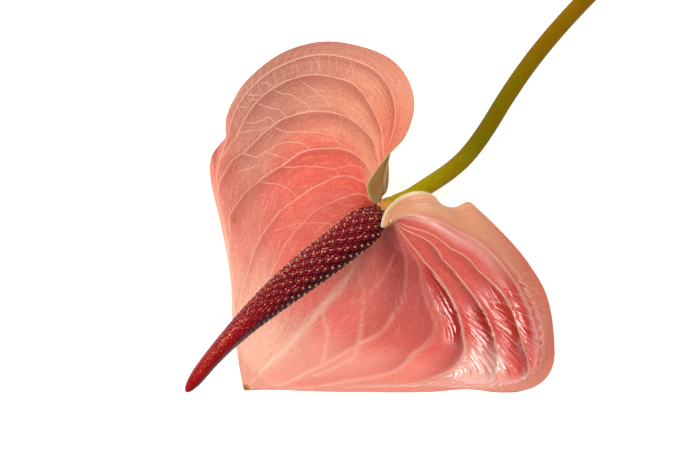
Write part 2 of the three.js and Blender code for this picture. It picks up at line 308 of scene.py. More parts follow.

# %% [markdown]
# ## The finer net
# Side veins leave a main vein at a slant, bend over and run toward the tip until they join
# the next main vein outward, so the blade is divided into long cells. The clear ones on the
# left lobe and beside the midrib are listed one by one. The tightly quilted right lobe and the
# outer band of the left one have many fine ones, which a rule with a fixed seed draws.

# %% Side veins
SIDE_VEINS = {
    -1: veins_of("""
555 248, 575 260, 595 276, 615 295, 640 318, 665 340
540 282, 570 303, 590 323, 625 351, 645 372, 690 404
550 342, 565 356, 590 370, 620 396, 645 414, 695 447
560 380, 590 396, 600 404, 605 418, 630 447, 690 490
560 390, 580 420, 600 441, 645 479, 700 520
700 430, 725 446, 750 463, 790 480
700 442, 725 458, 745 470
705 466, 725 477, 775 502
700 400, 735 420, 765 439
695 308, 750 330, 795 348
680 243, 730 262, 785 284
395 180, 415 191, 440 206, 448 231, 455 263, 470 295, 490 331, 515 356, 550 384
392 262, 420 282, 440 305, 455 325, 470 353, 480 377, 495 404, 520 441, 550 465, 625 515
400 330, 435 358, 470 387, 495 408
480 430, 500 447, 550 495, 620 550
290 180, 315 199, 325 226, 335 255, 350 287, 370 323, 402 360
410 110, 370 135, 340 165, 318 198
285 325, 315 340, 355 370, 400 411, 455 452
150 230, 170 248, 190 284, 210 320, 235 362, 260 410, 300 460
"""),
    1: veins_of("""
0 440, 35 474, 75 502, 115 554, 175 618, 220 660
0 200, 40 250, 80 289, 95 330, 115 380, 150 440, 200 500
260 110, 225 130, 155 197, 110 268, 95 330
180 480, 220 530, 260 571, 285 637, 360 760
"""),
}
# half, number of the main vein they leave, from and to along it, slant, spacing
FINE_REGIONS = [
    (1, 1, 0.4, 0.93, 0.1, 0.03), (1, 2, 0.4, 0.93, 0.1, 0.03), (1, 3, 0.26, 0.9, 0.056, 0.025),
    (1, 4, 0.2, 0.8, 0.056, 0.02), (1, 5, 0.3, 0.66, 0.05, 0.014),
    (-1, 4, 0.26, 0.56, 0.03, 0.014), (-1, 5, 0.3, 0.62, 0.02, 0.011),
]
NARROWEST = 0.045
OUTERMOST = 0.95
rng = np.random.default_rng(7)


def side_at(line, along):
    order = np.argsort(line[:, 1])
    return abs(np.interp(along, line[order, 1], line[order, 0], left=np.nan, right=np.nan))


def drawn_side_vein(side, start, slant, outer):
    share = np.linspace(0, 1, 14)
    bow = rng.uniform(1.1, 1.6)
    wave = np.sin(share * rng.uniform(7, 11) + rng.uniform(0, 6)) * np.sin(math.pi * share)
    return np.column_stack([side + (outer - side) * (1 - (1 - share) ** bow),
                            start + slant * share + 0.04 * slant * wave])


side_lines = [vein_line(pairs, half) for half in (-1, 1) for pairs in SIDE_VEINS[half]]
fine_lines = []
for half, which, start, end, slant, step in FINE_REGIONS:
    own = mains_of(half)
    while start < end:
        side = side_at(own[which], start)
        lean = slant * rng.uniform(0.8, 1.2)
        ends = [side_at(line, start + lean) for line in own]
        outer = min([spot for spot in ends if spot > side + 0.015], default=1.0)
        outer = OUTERMOST if which == len(own) - 1 else outer
        if np.isfinite(side) and outer - side > NARROWEST:
            fine_lines.append(drawn_side_vein(side, start, lean, outer) * [half, 1])
        start += step * rng.uniform(0.7, 1.35) * (1 + 0.8 * start)
print("side veins by hand:", len(side_lines), "by rule:", len(fine_lines))

# %% [markdown]
# ## From vein lines to relief
# A vein holds the blade down, and the tissue between veins puffs up like a quilt. So the
# height of the blade depends on how far a point lies from the nearest vein, which a KD tree
# finds quickly. The midrib, the inner veins of the right half and its side veins are soft
# bands; all others are crisp lines.

# %% Distances to the veins
def skin_at(line):
    return surface(line[:, 0], np.clip(line[:, 1], 0, 0.99))[0]


def distance_to(lines, points):
    spots = np.vstack([skin_at(line) for line in lines])
    tree = KDTree(len(spots))
    for index, spot in enumerate(spots):
        tree.insert(spot, index)
    tree.balance()
    return np.array([tree.find(point)[2] for point in points])


def denser(line, spacing=0.5):
    gone = distances(skin_at(line))
    at = np.linspace(0, gone[-1], max(int(gone[-1] / spacing), 2) + 1)
    return np.column_stack([np.interp(at, gone, column) for column in line.T])


main_lines, side_lines, fine_lines = (
    [denser(line) for line in lines] for lines in (main_lines, side_lines, fine_lines))
first_right = 2 + len(MAIN_VEINS[-1])
past_soft = first_right + 2
soft_mains = main_lines[first_right:past_soft]
crisp_mains = main_lines[1:first_right] + main_lines[past_soft:]
soft_sides = side_lines[-len(SIDE_VEINS[1]):]
crisp_sides = side_lines[:-len(SIDE_VEINS[1])]
print("soft veins:", len(soft_mains + soft_sides), "crisp ones:", len(crisp_mains + crisp_sides))

# %% Relief: puffed panels, small cells and valleys, in millimetres
BIG_PUFF = {-1: 0.85, 1: 1.1}
NET_WIDE, MAIN_WIDE, MAIN_DEEP = 1.1, 0.6, 0.12
GROOVE_DEEP, GROOVE_WIDE = 0.7, 0.05


def panel(side, along):
    out, heights, shares = np.abs(side), np.zeros(len(side)), np.zeros(len(side))
    for half in (-1, 1):
        rows = np.flatnonzero((side > 0) == (half > 0))
        spots = [np.interp(along[rows], line[:, 1], np.abs(line[:, 0]), right=RIM)
                 for line in mains_of(half)]
        spots = np.sort(np.stack([np.zeros(len(rows)), *spots, np.full(len(rows), RIM)]), axis=0)
        above = np.clip((spots <= out[rows]).sum(axis=0), 1, len(spots) - 1)
        low, high = (np.take_along_axis(spots, (above + k)[None], axis=0)[0] for k in (-1, 0))
        share = np.clip((out[rows] - low) / np.maximum(high - low, 1e-6), 0, 1)
        bulge = smooth(high - low, 0.03, 0.16) * 4 * share * (1 - share)
        calm = 1 - 0.6 * (half > 0) * fade(out[rows], 0.3, 0.4)
        heights[rows] = calm * BIG_PUFF[half] * (bulge - 0.4 * fade(out[rows], 0.6, RIM))
        shares[rows] = share * smooth(high - low, 0.03, 0.1)
    return np.where(out >= RIM, 0, heights), np.where(out >= RIM, 0, shares)


def relief(points, side, along):
    net = distance_to(main_lines + side_lines + fine_lines, points)
    heights, share = panel(side, along)
    pleats = smooth(side, 0.36, 0.46) * band(along, 0.24, 0.33, 0.5, 0.62)
    tight = np.where(side > 0, 0.07 + 0.45 * pleats, 0.24)
    valleys = MAIN_DEEP * near_by(distance_to(main_lines, points), 0, MAIN_WIDE)
    small = tight * (1 - near_by(net, 0, NET_WIDE) - 0.4) - valleys
    early = (1 - 0.75 * smooth(np.abs(side), 0.8, 0.9)) * smooth(along, 0.05, 0.2)
    flatter = np.where(side > 0, smooth(along, 0.34, 0.56), 0.75 * smooth(along, 0.5, 0.9))
    groove = GROOVE_DEEP * near_by(side, 0, GROOVE_WIDE) * (1 - along) * smooth(along, 0, 0.1)
    lift = early * (heights * (1 - flatter) + small * (1 - 0.75 * smooth(along, 0.5, 0.9))) - groove
    return lift, net, share


# %% [markdown]
# ## The blade
# One closed shell makes the spathe: an upper face, a lower face that follows it, and a
# rounded margin between them. It is thickest at the middle and thin at the rim, and the left
# margin has one small nick. Its tip lies flat on the floor.

# %% Blade faces
BLADE_COLUMNS, BLADE_ROWS, ROW_POWER = 150, 300, 1.2
THICK_MIDDLE, THICK_RIM = 0.7, 0.4
MARGIN_WAY, MARGIN_INWARD = np.array([0.695, 0.719, 0]), np.array([0.719, -0.695, 0])
NICK_AT, NICK_LONG, SWELL_AT, SWELL_LONG = 19.3, 1.7, 25.4, 2.6


def nick(side, along, points):
    level = points @ MARGIN_WAY
    inward = near_by(level, NICK_AT, NICK_LONG) - 0.6 * near_by(level, SWELL_AT, SWELL_LONG)
    return (inward * smooth(-side, 0.74, 0.88) * smooth(along, 0.4, 0.5))[:, None] * MARGIN_INWARD


def strip(*corners):
    faces = np.stack(corners, axis=-1).reshape(-1, 4).tolist()
    return [tuple(dict.fromkeys(face)) for face in faces]


def blade_faces(columns, rows):
    top = np.arange((rows + 1) * (columns + 1)).reshape(rows + 1, columns + 1)
    top[-1] = top[-1, 0]
    low = top + top.size
    left, right = 2 * top.size + np.arange(2 * (rows + 1)).reshape(2, -1)
    faces = strip(top[:-1, :-1], top[1:, :-1], top[1:, 1:], top[:-1, 1:])
    faces += strip(top[:-1, 0], left[:-1], left[1:], top[1:, 0])
    faces += strip(left[:-1], low[:-1, 0], low[1:, 0], left[1:])
    faces += strip(top[1:, -1], right[1:], right[:-1], top[:-1, -1])
    faces += strip(right[1:], low[1:, -1], low[:-1, -1], right[:-1])
    faces += strip(top[0, :-1], top[0, 1:], low[0, 1:], low[0, :-1])
    return faces, strip(low[:-1, :-1], low[:-1, 1:], low[1:, 1:], low[1:, :-1])


# %% Blade mesh
side_grid, along_grid = np.meshgrid(np.linspace(-1, 1, BLADE_COLUMNS + 1),
                                    np.linspace(0, 1, BLADE_ROWS + 1) ** ROW_POWER)
side_flat, along_flat = side_grid.ravel(), along_grid.ravel()
middle, up = surface(side_flat, along_flat)
middle += nick(side_flat, along_flat, middle)
flat_end = smooth(along_flat, 0.9, 0.96)[:, None]
up = unit(up * (1 - flat_end) + np.array([0, 0, 1.0]) * flat_end)
lift, net_far, panel_share = relief(middle, side_flat, along_flat)
thick = THICK_MIDDLE - (THICK_MIDDLE - THICK_RIM) * smooth(np.abs(side_flat), 0.6, 1)
upper = keep_above(middle + up * (lift + thick / 2)[:, None], 0.5)
lower = keep_above(middle + up * (lift - thick / 2)[:, None], 0.02)
margin_rows = [np.arange(BLADE_ROWS + 1) * (BLADE_COLUMNS + 1) + column for column in (0, BLADE_COLUMNS)]
edges = []
for row, next_in in zip(margin_rows, (1, -1)):
    inward = unit(middle[row + next_in] - middle[row])
    edges.append(keep_above((upper[row] + lower[row]) / 2 - inward * THICK_RIM / 2, 0.2))
top_faces, under_faces = blade_faces(BLADE_COLUMNS, BLADE_ROWS)
blade = mesh_object("spathe_blade", np.vstack([upper, lower, *edges]), top_faces + under_faces)
print("blade:", len(blade.data.vertices), "points,", len(blade.data.polygons), "faces")

# %% [markdown]
# ## Colour fields on the blade
# A spathe isn't one colour. It is paler and creamier toward the rim and the tip, and greenish
# where the two lips roll over beside the stem. Some fields paint light and shade instead: a
# painted shadow in the fold beside the base of the spadix, painted shade inside the veins and
# across the left lobe, painted sheen low on the right lobe and on its crest, and a painted
# highlight along the midrib. Each of these is a soft field over the surface, kept as a point
# attribute. More fields say where the wax shines, where the grain of the tissue shows and which
# way the fine wrinkles run.

# %% Tints, in the order they are laid on
# Some tints paint light and shade rather than the tissue's colour: a shadow in the fold at the base, shade
# inside the veins and on the left lobe, sheen on the right lobe and a highlight along the midrib.
TINTS = {
    "bright": "#EA6454", "warm": "#C43828", "dusty": "#BC7A62", "outer": "#C1654A",
    "glow": "#E05440", "orange": "#DE9A76", "pale": "#E8B094", "deep": "#A02E2C",
    "tan": "#D09068", "dusk": "#DFE4E6", "shade": "#D09092", "bloom": "#F0C2B0",
    "midrib": "#F6CDB0", "soft_vein": "#F2B49C", "lip": "#DDD9A6", "green_edge": "#A8A24C",
}
# these two tints darken the colour by multiplying; both are painted shade
DARKENING = ("dusk", "shade")
SPOTS = [(-0.575, 0.617, 0.9), (-0.02, 0.995, 1.5)]
second_vein, third_vein, fourth_vein = (vein_line(MAIN_VEINS[1][k], 1) for k in (1, 2, 3))


def beyond(vein, side, along):
    return side - np.interp(along, vein[:, 1], vein[:, 0])


def tint_fields(side, along, points, share):
    out, left = np.abs(side), -side
    far = np.linalg.norm(points, axis=1)
    turn = 0.14 * smooth(left, 0.25, 0.55)
    inner = 0.14 * fade(left, 0.38, 0.54)
    right = smooth(side, -0.05, 0.15)
    to_tip = 1 - 0.8 * smooth(along, 0.55, 0.8)
    pale_left = 0.85 * smooth(along, 0.42 + turn, 0.68 + turn)
    pale_right = ((0.42 - 0.2 * smooth(side, 0.3, 0.5)) * smooth(along, 0.42, 0.62)
                  + 0.3 * smooth(along, 0.84, 0.97))
    vein_band = (0.12 + 0.4 * smooth(along, 0.25, 0.5)) * (side > 0)
    margin = smooth(out, 0.975, 1.0) * fade(along, 0.1, 0.24)
    # painted shade: darkens each panel just inside its outer vein and pales toward the inner vein
    painted_vein_shade = smooth(share, 0.4, 0.97) * fade(out, 0.76, 0.84) * smooth(along, 0.05, 0.12)
    painted_vein_shade *= 1 - 0.7 * smooth(side, 0.56, 0.68) * fade(along, 0.3, 0.42)
    painted_vein_shade *= 1 - (0.35 + 0.4 * fade(left, 0.22, 0.3)) * (side < 0)
    painted_vein_shade *= fade(along + 0.14 * smooth(side, 0, 0.1), 0.6, 0.85)
    painted_vein_shade *= 1 - 0.6 * band(side, 0, 0.1, 0.34, 0.42)
    crest = near_by(side, 0.76, 0.045) * band(along, 0.03, 0.06, 0.2, 0.3)
    between = (smooth(beyond(third_vein, side, along), -0.03, 0.03)
               * fade(beyond(fourth_vein, side, along), -0.02, 0.06))
    fields = {
        "bright": smooth(side, -0.35, -0.05) * smooth(along, 0.25, 0.42) * to_tip,
        "warm": band(side, 0.05, 0.25, 0.74, 0.84) * fade(along, 0.36, 0.58),
        "dusty": smooth(left, 0.25, 0.6) * (1 - 0.85 * smooth(along, 0.42, 0.72)),
        "outer": 0.9 * smooth(side, 0.78, 0.86) * fade(along, 0.55, 0.75),
        "glow": (smooth(left, -0.05, 0.15) * fade(along, 0.1 + inner, 0.34 + inner)
                 * (1 - 0.6 * smooth(along, 0.12, 0.2) * fade(left, 0.22, 0.32))),
        "orange": (0.85 * smooth(left, 0.34, 0.52) * fade(along, 0.16, 0.38)
                   * (1 - 0.6 * smooth(left, 0.58, 0.68) * fade(along, 0.14, 0.22))),
        "pale": pale_left * (1 - right) + pale_right * right,
        "soft_vein": vein_band * near_by(distance_to(soft_mains + soft_sides, points), 0, 0.55),
        # pale midrib band, which also holds a painted highlight along its raised ridge; it widens toward
        # the tip
        "midrib": 0.65 * near_by(side, 0, 0.006 + 0.02 * along) * smooth(along, 0.1, 0.4),
        # painted shadow in the fold between the spadix base and the right half, near the collar
        "deep": near_by(side, 0.28, 0.15) * fade(far, 15, 38),
        "tan": smooth(side, 0.8, 0.86) * fade(along, 0.18, 0.34),
        # painted shade: a darker band across the left lobe, about half way along
        "dusk": near_by(along, 0.45, 0.11) * smooth(left, 0.45, 0.75),
        "shade": painted_vein_shade,
        # painted sheen: pale pink on the crest of the right lip and on the lower panel of the right lobe,
        # where the sheen light falls
        "bloom": np.maximum(0.4 * crest, 0.6 * between * band(along, 0.36, 0.46, 0.56, 0.64)),
        "lip": np.maximum(0.85 * margin, fade(along, 0.0, 0.03)) * (side > 0),
        "green_edge": 0.85 * margin * (side < 0),
        "olive": fade(along, 0.1, 0.3),
    }
    return {name: np.clip(values, 0, 1) for name, values in fields.items()}


# %% Gloss, grain and spots
def gloss_fields(side, along):
    past_second, past_third, past_fourth = (
        beyond(vein, side, along) for vein in (second_vein, third_vein, fourth_vein))
    streaks = smooth(past_second, 0.005, 0.05) * fade(past_third, -0.02, 0.01)
    streaks *= band(along, 0.1, 0.18, 0.36, 0.44)
    outward = smooth(past_third, -0.01, 0.02) * smooth(along, 0.25, 0.33)
    outer = 0.8 * smooth(past_fourth, -0.03, 0.02) * smooth(along, 0.2, 0.3)
    panels = np.max([streaks, outward, outer], axis=0) * fade(side, 0.83, 0.9)
    crest = 0.8 * near_by(side, 0.78, 0.05) * fade(along, 0.22, 0.32)
    lip = 0.7 * smooth(side, 0.84, 0.9) * fade(along, 0.12, 0.2)
    gloss = np.max([panels, crest, lip], axis=0)
    lean = 0.6 + 0.9 * smooth(past_third, -0.03, 0.02)
    return {"gloss": gloss, "fold": side - lean * np.maximum(0, along - 0.3),
            "grainy": (1 - 0.7 * smooth(gloss, 0, 0.7)) * (1 - 0.45 * smooth(side, 0, 0.15))}


def brown_spots(points):
    marks = [near_by(np.linalg.norm(points - surface([side], [along])[0], axis=1), 0, wide)
             for side, along, wide in SPOTS]
    return np.max(marks, axis=0)


def on_blade(values):
    return np.concatenate([values, values, *[values[row] for row in margin_rows]])


fields = {
    **tint_fields(side_flat, along_flat, middle, panel_share), **gloss_fields(side_flat, along_flat),
    "spot": brown_spots(middle), "crisp_far": distance_to(crisp_mains, middle), "net_far": net_far,
    "side": side_flat, "along": along_flat,
}
store(blade, **{name: on_blade(values) for name, values in fields.items()})
print("fields stored:", list(fields))

# %% [markdown]
# ## Growing meshes with Geometry Nodes
# Veins and the stem are the same idea: a line with a thickness at each point, swept with a
# round profile. Florets are another: one small shape set on many points, each turned to face
# outward. So two node trees serve the whole flower. Each has named inputs for its sizes.

# %% Helpers for node trees
def new_tree(name, sizes):
    tree = bpy.data.node_groups.new(name, "GeometryNodeTree")
    for label, kind in {"Geometry": "Geometry", **sizes, "Finish": "Material"}.items():
        tree.interface.new_socket(label, in_out="INPUT", socket_type="NodeSocket" + kind)
    tree.interface.new_socket("Geometry", in_out="OUTPUT", socket_type="NodeSocketGeometry")
    return tree, partial(add, tree), add(tree, "NodeGroupInput").outputs


def end_tree(tree, geometry, finish):
    real = add(tree, "GeometryNodeRealizeInstances", {"Geometry": geometry})
    done = add(tree, "GeometryNodeSetMaterial", {"Geometry": real, "Material": finish})
    add(tree, "NodeGroupOutput", {"Geometry": done})
    return tree


def grow(name, source, tree, **sizes):
    modifier = source.modifiers.new("grow", "NODES")
    modifier.node_group = tree
    for socket in tree.interface.items_tree:
        label = socket.name.replace(" ", "_").lower()
        if socket.in_out == "INPUT" and label in sizes:
            modifier[socket.identifier] = sizes[label]
    ready = source.evaluated_get(bpy.context.evaluated_depsgraph_get())
    mesh = bpy.data.meshes.new_from_object(ready)
    source.modifiers.remove(modifier)
    bpy.data.objects.remove(source)
    mesh.name = name
    mesh.shade_smooth()
    print(name + ":", len(mesh.vertices), "points,", len(mesh.polygons), "faces")
    return new_object(name, mesh)


# %% A ribbed line, and shapes set on points
MATH, VECTOR_MATH, NAMED = "ShaderNodeMath", "ShaderNodeVectorMath", "GeometryNodeInputNamedAttribute"


def sweep_tree():
    tree, node, given = new_tree("swept_line", {
        "Corners": "Int", "Thickness": "Float", "Ribs": "Float", "Rib Height": "Float", "Floor": "Float"})
    line = node("GeometryNodeMeshToCurve", {"Mesh": given["Geometry"]})
    thick = node(NAMED, {"Name": "thick"}, data_type="FLOAT")
    scaled = node(MATH, {0: thick, 1: given["Thickness"]}, operation="MULTIPLY")
    ring = node("GeometryNodeCurvePrimitiveCircle", {"Resolution": given["Corners"], "Radius": 1.0})
    place = node("GeometryNodeInputPosition")
    x, y, z = node("ShaderNodeSeparateXYZ", {0: place}).outputs
    turn = node(MATH, {0: y, 1: x}, operation="ARCTAN2")
    times = node(MATH, {0: turn, 1: given["Ribs"]}, operation="MULTIPLY")
    wave = node(MATH, {0: times}, operation="COSINE")
    high = node(MATH, {0: wave, 1: given["Rib Height"], 2: 1.0}, operation="MULTIPLY_ADD")
    ribbed = node(VECTOR_MATH, {0: place, "Scale": high}, operation="SCALE")
    profile = node("GeometryNodeSetPosition", {"Geometry": ring, "Position": ribbed})
    swept = node("GeometryNodeCurveToMesh", {
        "Curve": line, "Profile Curve": profile, "Scale": scaled, "Fill Caps": True})
    rest = node(MATH, {0: z, 1: given["Floor"]}, operation="MAXIMUM")
    laid = node("ShaderNodeCombineXYZ", {0: x, 1: y, 2: rest})
    pressed = node("GeometryNodeSetPosition", {"Geometry": swept, "Position": laid})
    return end_tree(tree, pressed, given["Finish"])


def scatter_tree():
    tree, node, given = new_tree("set_on_points", {
        "Shape": "Object", "Size": "Float", "Size Spread": "Float", "Seed": "Int"})
    shape = node("GeometryNodeObjectInfo", {"Object": given["Shape"]})
    outward, forward, size = (node(NAMED, {"Name": name}, data_type="FLOAT_VECTOR")
                              for name in ("outward", "forward", "size"))
    faced = node("FunctionNodeAxesToRotation", {0: outward, 1: forward}, primary_axis="Z",
                 secondary_axis="X")
    low, high = (node(MATH, {0: 1.0, 1: given["Size Spread"]}, operation=way)
                 for way in ("SUBTRACT", "ADD"))
    chance = node("FunctionNodeRandomValue", {2: low, 3: high, "Seed": given["Seed"]}).outputs[1]
    share = node(MATH, {0: chance, 1: given["Size"]}, operation="MULTIPLY")
    scale = node(VECTOR_MATH, {0: size, "Scale": share}, operation="SCALE")
    laid = node("GeometryNodeInstanceOnPoints", {
        "Points": given["Geometry"], "Instance": shape.outputs["Geometry"], "Rotation": faced,
        "Scale": scale})
    return end_tree(tree, laid, given["Finish"])


SWEEP, SCATTER = sweep_tree(), scatter_tree()
print("node trees:", SWEEP.name, len(SWEEP.nodes), "nodes;", SCATTER.name, len(SCATTER.nodes), "nodes")

# %% [markdown]
# ## Finishes
# Each finish is named for the tissue it shows and is built like a painting in glazes: a base
# colour, then thin layers, each shown where a pattern or a field of the surface says. Waxed
# tissue is smooth, with a roughness near 0.2, and dry tissue is rough. Light also soaks a
# little way into living tissue, which softens the shadows and warms thin parts.
#
# - Pattern: scale per metre, detail of the noise or feature of the cells, stretch, flow.
# - Layer: what shows it, from and to which value and how strongly there (0 and 1 if that
#   isn't given), colour, cover.
# - Bump: pattern, strength, height in metres.
# - Soft: how much light soaks in, how far each of its colours goes, depth in metres.

# %% Finish helper
def make_finish(name, base, layers, patterns, bumps=(), rough=0.5, soft=(), **sockets):
    finish = bpy.data.materials.new(name)
    finish.use_nodes = True
    tree, shader = finish.node_tree, finish.node_tree.nodes["Principled BSDF"]
    node, found = partial(add, tree), {}
    place = node("ShaderNodeTexCoord").outputs["Object"]

    def make_pattern(scale, detail, stretch=None, flow=()):
        at = place
        if flow:
            at = node("ShaderNodeCombineXYZ", {k: value_of(label) for k, label in enumerate(flow)})
        if stretch:
            at = node("ShaderNodeMapping", {"Vector": at, "Scale": stretch})
        sizes = {"Vector": at, "Scale": scale}
        if isinstance(detail, str):
            return node("ShaderNodeTexVoronoi", sizes, feature=detail).outputs["Distance"]
        return node("ShaderNodeTexNoise", {**sizes, "Detail": detail}).outputs["Fac"]

    def value_of(label, span=None):
        if label not in found:
            found[label] = (make_pattern(*patterns[label]) if label in patterns
                            else node("ShaderNodeAttribute", attribute_name=label).outputs["Fac"])
        if span is None:
            return found[label]
        spread = dict(enumerate((found[label], *span, 0.0, 1.0)[:5]))
        return node("ShaderNodeMapRange", spread, interpolation_type="SMOOTHSTEP")

    colour, normal = base, None
    for label, span, code, *cover in layers:
        share = value_of(label, span)
        if cover:
            share = node(MATH, {0: share, 1: value_of(*cover)}, operation="MULTIPLY")
        way = "MULTIPLY" if label in DARKENING else "MIX"
        colour = node("ShaderNodeMix", {0: share, 6: colour, 7: code}, data_type="RGBA",
                      blend_type=way).outputs[2]
    for label, strength, height in bumps:
        strength = value_of(strength) if isinstance(strength, str) else strength
        normal = node("ShaderNodeBump", {"Strength": strength, "Distance": height,
                                         "Height": value_of(label), "Normal": normal})
    fill(tree, shader, {
        "Base Color": colour, "Normal": normal,
        "Roughness": value_of(*rough) if isinstance(rough, tuple) else rough,
        **dict(zip(("Subsurface Weight", "Subsurface Radius", "Subsurface Scale"), soft)),
        **{label.replace("_", " "): value for label, value in sockets.items()}})
    return finish


# %% Finishes of the spathe
# Fresh anthurium spathe: living tissue under a thick wax layer, so it shines like enamel on
# the puffed panels while the colour below stays soft. Its cells are drawn 1.6 mm wide, with a
# grain of 0.4 mm, both coarser than in a leaf, because finer ones wouldn't show.
UPPER_SKIN = make_finish(
    "waxy_spathe_tissue", "#DC6252", rough=("gloss", (0.0, 1.0, 0.85, 0.2)), IOR=1.5,
    soft=(0.15, (1.0, 0.4, 0.25), 0.0012),
    patterns={
        "patches": (130.0, 3.0), "cells": (620.0, "DISTANCE_TO_EDGE"), "grain": (2400.0, 3.0),
        "fibres": (1.0, 4.0, (70.0, 16.0, 1.0), ("side", "along")),
        "wrinkles": (1.0, 1.0, (50.0, 9.0, 1.0), ("fold", "along"))},
    layers=[
        ("patches", (0.3, 0.7), "#D26450"), *[(label, None, code) for label, code in TINTS.items()],
        ("net_far", (0.0, 0.6, 0.1, 0.0), "#F2BFA6"), ("crisp_far", (0.0, 0.7, 0.2, 0.0), "#F2BFA6"),
        ("cells", (0.0, 0.12, 0.04, 0.0), "#EDB9A0"),
        ("fibres", (0.3, 0.55, 0.26, 0.0), "#B4564A", "grainy"),
        ("fibres", (0.5, 0.7, 0.0, 0.14), "#F4C0A8", "grainy"),
        ("grain", (0.35, 0.62, 0.28, 0.0), "#A8443C", "grainy"),
        ("grain", (0.5, 0.72, 0.0, 0.2), "#F4B8A0", "grainy"),
        ("spot", (0.15, 0.7, 0.0, 0.95), "#A05E24")],
    bumps=[("wrinkles", "gloss", 0.0009), ("cells", 0.35, 0.00025), ("grain", 0.12, 0.0001)])

# The back of the spathe has no thick wax: olive tan tissue, duller, with a pale net.
UNDER_SKIN = make_finish(
    "spathe_underside_tissue", "#D08A6A", rough=0.3, IOR=1.3, soft=(0.25, (1.0, 0.5, 0.25), 0.0012),
    patterns={"patches": (160.0, 4.0), "cells": (700.0, "DISTANCE_TO_EDGE")},
    layers=[
        ("patches", (0.3, 0.7), "#C99A72"), ("pale", None, "#E2B48C"),
        ("net_far", (0.0, 0.8, 0.4, 0.0), "#D9C79A"), ("olive", None, "#98662C"),
        ("green_edge", None, "#8E9440")],
    bumps=[("cells", 0.4, 0.0002)])

# Veins are bundles of colourless vessels, so they look paler than the tissue around them.
UPPER_VEIN, UNDER_VEIN = (
    make_finish(
        name, near, rough=0.36, IOR=1.45, patterns={"patches": (220.0, 2.0)},
        layers=[("cream", None, outer), ("faint", None, faded), ("patches", (0.35, 0.7, 0.0, 0.25), faded)])
    for name, near, outer, faded in (
        ("upper_vein_tissue", "#EE967E", "#EFBB9E", "#E08E78"),
        ("under_vein_tissue", "#D9BC8C", "#E3C9A0", "#A0743C")))
for finish in (UPPER_SKIN, UNDER_SKIN):
    blade.data.materials.append(finish)
blade.data.polygons.foreach_set("material_index", [0] * len(top_faces) + [1] * len(under_faces))
print("spathe finishes:", [finish.name for finish in (UPPER_SKIN, UNDER_SKIN, UPPER_VEIN, UNDER_VEIN)])

# %% [markdown]
# ## Veins as real shapes
# On the upper face a crisp vein is a fine pale line at the bottom of its groove, and the soft
# ones are left to the wax finish, which paints them; along the midrib that paint also holds a
# painted highlight. Underneath, every vein stands out as a round ridge. All are swept along
# the same lines, half sunk into the skin, with a thickness that fades from the base to the
# rim, and near the collar they take the colour of the tissue.

# %% Sweep the veins
SIDE_SHARE, FINE_SHARE = 0.72, 0.42
UPPER_VEIN_R, UNDER_VEIN_R = 0.16, 0.5


def on_skin(skin, side, along):
    column = (side + 1) / 2 * BLADE_COLUMNS
    row = along ** (1 / ROW_POWER) * BLADE_ROWS
    j = np.clip(column.astype(int), 0, BLADE_COLUMNS - 1)
    i = np.clip(row.astype(int), 0, BLADE_ROWS - 1)
    u, v = (column - j)[:, None], (row - i)[:, None]
    grid = skin.reshape(BLADE_ROWS + 1, BLADE_COLUMNS + 1, 3)
    near = grid[i, j] * (1 - u) + grid[i, j + 1] * u
    far = grid[i + 1, j] * (1 - u) + grid[i + 1, j + 1] * u
    return near * (1 - v) + far * v


def vein_mesh(name, groups, skin, face, widest, depth):
    points, thick, cream, faint, edges = [], [], [], [], []
    for rank, (lines, share) in enumerate(groups):
        for line in lines:
            keep = line[(line[:, 1] > 0.008) & (line[:, 1] < 0.975)]
            if len(keep) < 3:
                continue
            side, along = keep.T
            steps = np.arange(len(keep))
            ends = np.minimum(1, np.minimum(steps, steps[::-1]) / 4 + 0.25)
            radius = widest * share * (1 - 0.6 * along) * ends
            outward = surface(side, along)[1] * face
            placed = on_skin(skin, side, along) + outward * (depth * radius)[:, None]
            edges += [(len(thick) + k, len(thick) + k + 1) for k in steps[:-1].tolist()]
            points.append(keep_above(placed, radius + 0.03))
            thick += radius.tolist()
            right = smooth(side, 0, 0.1)
            pale = smooth(np.abs(side), 0.15, 0.42) * (1 - 0.6 * right * smooth(along, 0.3, 0.5))
            cream += pale.tolist()
            dim = rank * (0.25 + 0.2 * right) + (0.65 - 0.15 * face) * fade(along, 0.12, 0.32)
            faint += np.minimum(1, dim).tolist()
    source = mesh_object(name + "_line", np.vstack(points), [], edges)
    store(source, thick=thick, cream=cream, faint=faint)
    return source


crisp_veins = ((crisp_mains, 1.0), (crisp_sides, SIDE_SHARE), (fine_lines, FINE_SHARE))
all_veins = ((main_lines, 1.0), (side_lines, SIDE_SHARE), (fine_lines, FINE_SHARE))
upper_veins = grow("spathe_upper_veins", vein_mesh("upper", crisp_veins, upper, 1, UPPER_VEIN_R, -0.15),
                   SWEEP, corners=6, thickness=MM, finish=UPPER_VEIN)
under_veins = grow("spathe_under_veins", vein_mesh("under", all_veins, lower, -1, UNDER_VEIN_R, 0.0),
                   SWEEP, corners=7, thickness=MM, finish=UNDER_VEIN)

# %% [markdown]
# ## The spadix
# The spadix is a fleshy spike packed with tiny florets. It is made as a smooth core, swept
# along its own gentle curve, with the florets set on it afterwards. The core's radius swells
# above the base, holds for a quarter of the length and then tapers to a blunt, bare tip.

# %% Rings of points round a path
def turning_frames(path, along, step=0.004):
    centre = along_path(path, along)
    before, after = np.maximum(along - step, 0), np.minimum(along + step, 1)
    ahead = unit(along_path(path, after) - along_path(path, before))
    across = unit(np.cross(ahead, (0, 0, 1.0)))
    return centre, ahead, across, np.cross(across, ahead)


